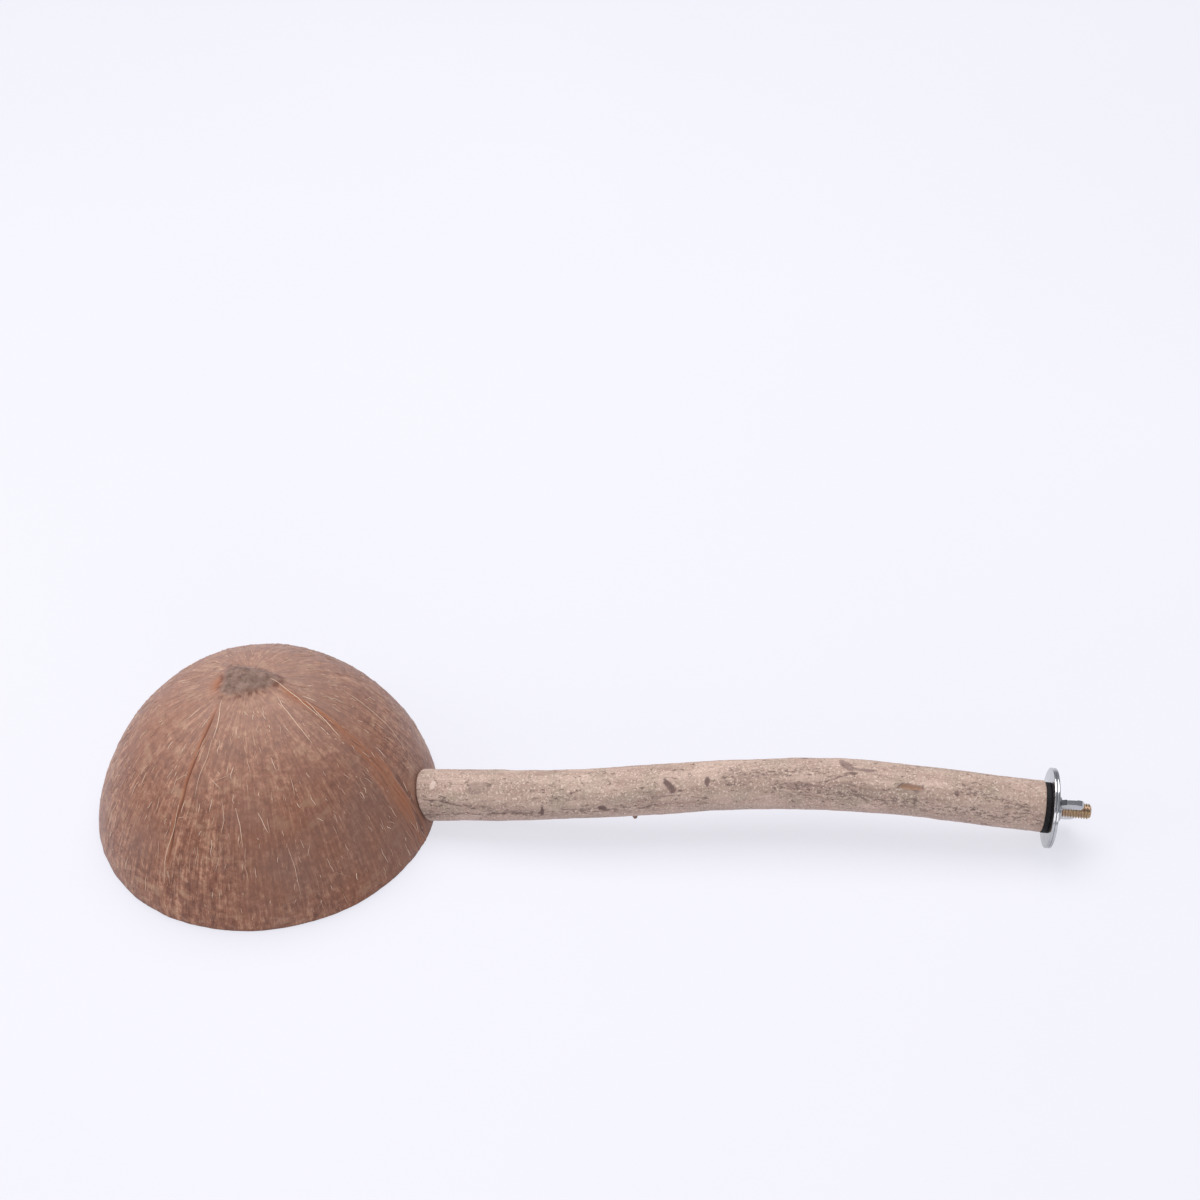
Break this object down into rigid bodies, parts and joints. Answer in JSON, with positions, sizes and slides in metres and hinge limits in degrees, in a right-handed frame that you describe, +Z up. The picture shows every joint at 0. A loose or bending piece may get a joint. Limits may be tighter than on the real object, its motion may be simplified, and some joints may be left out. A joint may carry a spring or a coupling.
{
  "type": "cage perch with half coconut shell",
  "caption": "Half coconut shell, open side down, screwed to the end of a natural wood perch that has a bolt, washers and a wing nut for clamping to cage bars.",
  "frame": {"origin": "centre of the coconut shell's rim, on the surface that the part lies on", "axes": "+X from the shell's centre to the washers at the clamp end, +Z up out of the shell's tip, +Y to the left of the perch when looking along +X"},
  "size_m": [0.3781, 0.1312, 0.066],
  "materials": {
    "coconut": "brushed hard coconut shell, fibrous, satin",
    "branch_wood": "bark-stripped branch, sanded smooth, matte",
    "yellow_zinc_steel": "yellow-passivated zinc on steel",
    "black_rubber": "matte black rubber",
    "bright_zinc_steel": "bright zinc plate",
    "screw_steel": "plain stainless steel"
  },
  "bodies": {
    "perch": {"perch_branch": "branch_wood", "coconut_shell": "coconut", "hanger_bolt": "yellow_zinc_steel", "rubber_washer": "black_rubber", "inner_washer": "bright_zinc_steel", "shell_screw": "screw_steel", "screw_washer": "screw_steel"},
    "outer_washer": {"outer_washer": "bright_zinc_steel"},
    "wing_nut": {"wing_nut": "bright_zinc_steel"}
  },
  "joints": [
    {"name": "washer_slide", "type": "slide", "parent": "perch", "child": "outer_washer", "axis": [0.9972, 0, -0.075], "range_m": [0, 0.007]},
    {"name": "nut_spin", "type": "hinge", "parent": "outer_washer", "child": "wing_nut", "pos_m": [0.29846, 0, 0.01496], "axis": [0.9972, 0, -0.075], "range_deg": [0, 2521]}
  ],
  "couplings": [
    {"joint": "nut_spin", "follows": "washer_slide", "rad_per_m": 6283.2}
  ]
}
